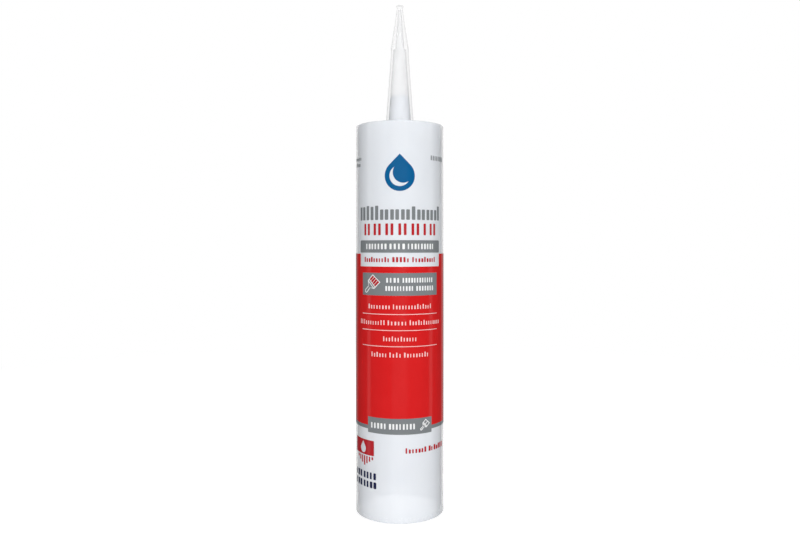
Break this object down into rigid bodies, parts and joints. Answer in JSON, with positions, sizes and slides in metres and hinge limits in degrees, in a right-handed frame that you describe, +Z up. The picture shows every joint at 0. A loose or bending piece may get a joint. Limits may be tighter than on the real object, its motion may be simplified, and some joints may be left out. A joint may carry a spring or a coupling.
{
  "type": "caulk tube",
  "caption": "Standing sealant cartridge: printed plastic barrel with recessed head, closed tapered nozzle, paste and a plunger that slides up from the open foot.",
  "frame": {"origin": "centre of the barrel's open foot, on the surface that it stands on", "axes": "+Z up along the barrel's axis towards the nozzle's tip, -Y out of the front of the print"},
  "size_m": [0.0496, 0.0497, 0.2848],
  "materials": {
    "barrel_plastic": "satin white polyethylene, slightly translucent",
    "nozzle_plastic": "satin natural polyethylene, translucent",
    "foil": "bright foil",
    "paste": "wet milky paste",
    "plunger_plastic": "matte moulded polyethylene",
    "red_ink": "satin print",
    "grey_ink": "satin print",
    "white_ink": "satin print",
    "blue_ink": "satin print",
    "navy_ink": "satin print"
  },
  "bodies": {
    "barrel": {"barrel": "barrel_plastic", "nozzle": "nozzle_plastic", "inner_seal": "foil", "sealant": "paste", "print_red": "red_ink", "print_grey": "grey_ink", "print_white": "white_ink", "print_blue": "blue_ink", "print_navy": "navy_ink"},
    "plunger": {"plunger": "plunger_plastic"}
  },
  "joints": [
    {"name": "plunger_slide", "type": "slide", "parent": "barrel", "child": "plunger", "axis": [0, 0, 1], "range_m": [0, 0.1672], "deforming": ["sealant"]}
  ]
}
